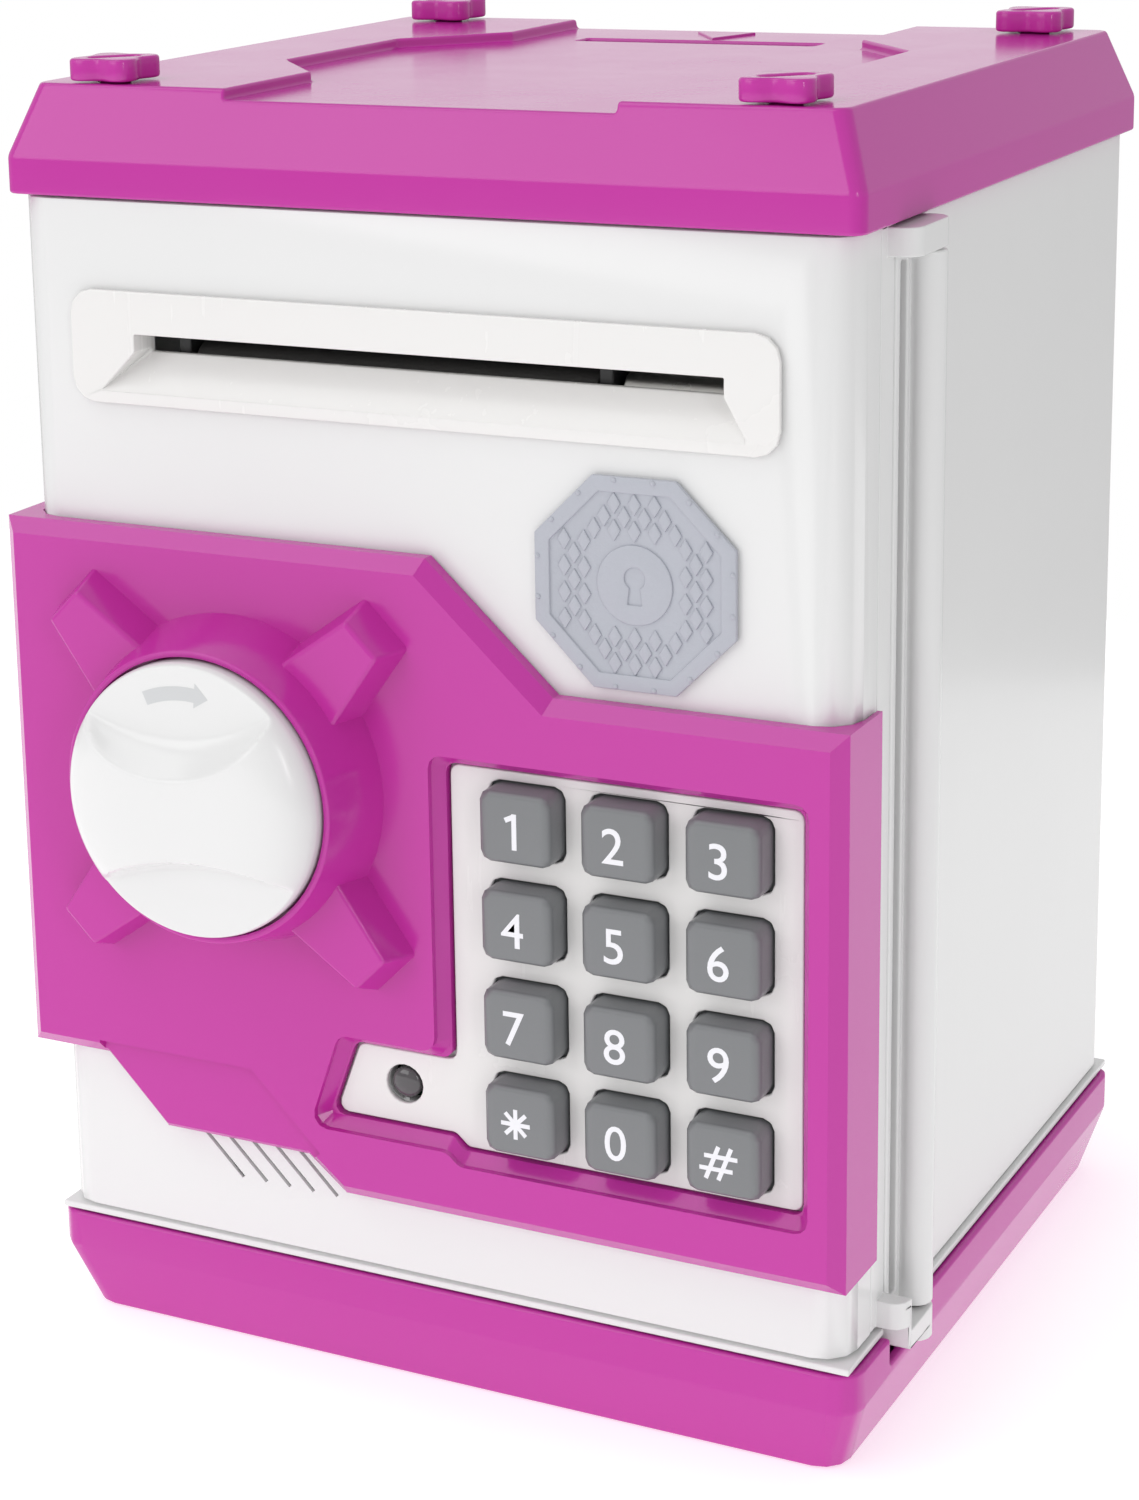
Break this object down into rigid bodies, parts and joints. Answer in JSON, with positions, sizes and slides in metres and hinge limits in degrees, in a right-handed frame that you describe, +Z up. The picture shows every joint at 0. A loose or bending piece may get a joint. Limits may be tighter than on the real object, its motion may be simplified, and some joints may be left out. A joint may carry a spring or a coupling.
{
  "type": "toy safe coin bank",
  "caption": "Toy safe money box with a hinged front door, turning knob and latch, number keypad, bill slot with feed rollers and a coin slot in the cap.",
  "frame": {"origin": "centre of the base's underside", "axes": "+Z up, -Y out of the front door, +X towards the hinge side"},
  "size_m": [0.1318, 0.1391, 0.1894],
  "materials": {
    "pink_gloss_plastic": "gloss",
    "white_gloss_plastic": "gloss",
    "grey_key_plastic": "satin",
    "silver_grey_plastic": "satin",
    "smoked_lens": "gloss",
    "green_board": "satin",
    "black_plastic": "satin",
    "dark_rubber": "matte",
    "battery_sleeve": "satin",
    "steel": "satin"
  },
  "bodies": {
    "safe_body": {"base_tray": "pink_gloss_plastic", "floor_panel": "white_gloss_plastic", "body_shell": "white_gloss_plastic", "top_cap": "pink_gloss_plastic", "corner_bolt_front_left": "pink_gloss_plastic", "corner_bolt_front_right": "pink_gloss_plastic", "corner_bolt_back_left": "pink_gloss_plastic", "corner_bolt_back_right": "pink_gloss_plastic", "hinge_rod": "steel", "latch_keeper": "white_gloss_plastic", "base_screw_1": "steel", "base_screw_2": "steel", "base_screw_3": "steel", "base_screw_4": "steel"},
    "door": {"door_front": "white_gloss_plastic", "door_back": "white_gloss_plastic", "bill_slot_bezel": "white_gloss_plastic", "front_panel": "pink_gloss_plastic", "keypad_plate": "white_gloss_plastic", "door_plaque": "silver_grey_plastic", "indicator_led": "smoked_lens", "circuit_board": "green_board", "key_mat": "dark_rubber", "speaker": "black_plastic", "battery_box": "white_gloss_plastic", "battery_cover": "white_gloss_plastic", "battery_cover_screw": "steel", "battery_1": "battery_sleeve", "battery_2": "battery_sleeve", "battery_3": "battery_sleeve", "contact_plate_left": "steel", "contact_plate_right": "steel", "roller_bracket_left": "white_gloss_plastic", "roller_bracket_right": "white_gloss_plastic", "feed_motor": "black_plastic", "latch_housing": "white_gloss_plastic", "door_screw_1": "steel", "door_screw_2": "steel", "door_screw_3": "steel", "door_screw_4": "steel"},
    "knob_and_cam": {"knob": "white_gloss_plastic", "knob_cam": "white_gloss_plastic"},
    "latch": {"latch_bolt": "steel"},
    "feed": {"feed_roller": "dark_rubber"},
    "idler": {"idler_roller": "white_gloss_plastic"},
    "key_1": {"key_1": "grey_key_plastic"},
    "key_2": {"key_2": "grey_key_plastic"},
    "key_3": {"key_3": "grey_key_plastic"},
    "key_4": {"key_4": "grey_key_plastic"},
    "key_5": {"key_5": "grey_key_plastic"},
    "key_6": {"key_6": "grey_key_plastic"},
    "key_7": {"key_7": "grey_key_plastic"},
    "key_8": {"key_8": "grey_key_plastic"},
    "key_9": {"key_9": "grey_key_plastic"},
    "key_star": {"key_star": "grey_key_plastic"},
    "key_0": {"key_0": "grey_key_plastic"},
    "key_hash": {"key_hash": "grey_key_plastic"}
  },
  "joints": [
    {"name": "door_hinge", "type": "hinge", "parent": "safe_body", "child": "door", "pos_m": [0.0642, -0.036, 0.09], "axis": [0, 0, 1], "range_deg": [0, 110]},
    {"name": "knob_turn", "type": "hinge", "parent": "door", "child": "knob_and_cam", "pos_m": [-0.0275, -0.0708, 0.0903], "axis": [0, 1, 0], "range_deg": [0, 60]},
    {"name": "latch_slide", "type": "slide", "parent": "door", "child": "latch", "axis": [-1, 0, 0], "range_m": [0, 0.004]},
    {"name": "feed_spin", "type": "hinge", "parent": "door", "child": "feed", "pos_m": [-0.006, -0.0506, 0.1469], "axis": [1, 0, 0], "continuous": true},
    {"name": "idler_spin", "type": "hinge", "parent": "door", "child": "idler", "pos_m": [-0.006, -0.0506, 0.1539], "axis": [1, 0, 0], "continuous": true},
    {"name": "key_1_press", "type": "slide", "parent": "door", "child": "key_1", "axis": [0, 1, 0], "range_m": [0, 0.0013], "stiffness_N_per_m": 300},
    {"name": "key_2_press", "type": "slide", "parent": "door", "child": "key_2", "axis": [0, 1, 0], "range_m": [0, 0.0013], "stiffness_N_per_m": 300},
    {"name": "key_3_press", "type": "slide", "parent": "door", "child": "key_3", "axis": [0, 1, 0], "range_m": [0, 0.0013], "stiffness_N_per_m": 300},
    {"name": "key_4_press", "type": "slide", "parent": "door", "child": "key_4", "axis": [0, 1, 0], "range_m": [0, 0.0013], "stiffness_N_per_m": 300},
    {"name": "key_5_press", "type": "slide", "parent": "door", "child": "key_5", "axis": [0, 1, 0], "range_m": [0, 0.0013], "stiffness_N_per_m": 300},
    {"name": "key_6_press", "type": "slide", "parent": "door", "child": "key_6", "axis": [0, 1, 0], "range_m": [0, 0.0013], "stiffness_N_per_m": 300},
    {"name": "key_7_press", "type": "slide", "parent": "door", "child": "key_7", "axis": [0, 1, 0], "range_m": [0, 0.0013], "stiffness_N_per_m": 300},
    {"name": "key_8_press", "type": "slide", "parent": "door", "child": "key_8", "axis": [0, 1, 0], "range_m": [0, 0.0013], "stiffness_N_per_m": 300},
    {"name": "key_9_press", "type": "slide", "parent": "door", "child": "key_9", "axis": [0, 1, 0], "range_m": [0, 0.0013], "stiffness_N_per_m": 300},
    {"name": "key_star_press", "type": "slide", "parent": "door", "child": "key_star", "axis": [0, 1, 0], "range_m": [0, 0.0013], "stiffness_N_per_m": 300},
    {"name": "key_0_press", "type": "slide", "parent": "door", "child": "key_0", "axis": [0, 1, 0], "range_m": [0, 0.0013], "stiffness_N_per_m": 300},
    {"name": "key_hash_press", "type": "slide", "parent": "door", "child": "key_hash", "axis": [0, 1, 0], "range_m": [0, 0.0013], "stiffness_N_per_m": 300}
  ],
  "couplings": [
    {"joint": "latch_slide", "follows": "knob_turn", "m_per_rad": 0.0038197},
    {"joint": "idler_spin", "follows": "feed_spin", "ratio": -1.0667}
  ]
}
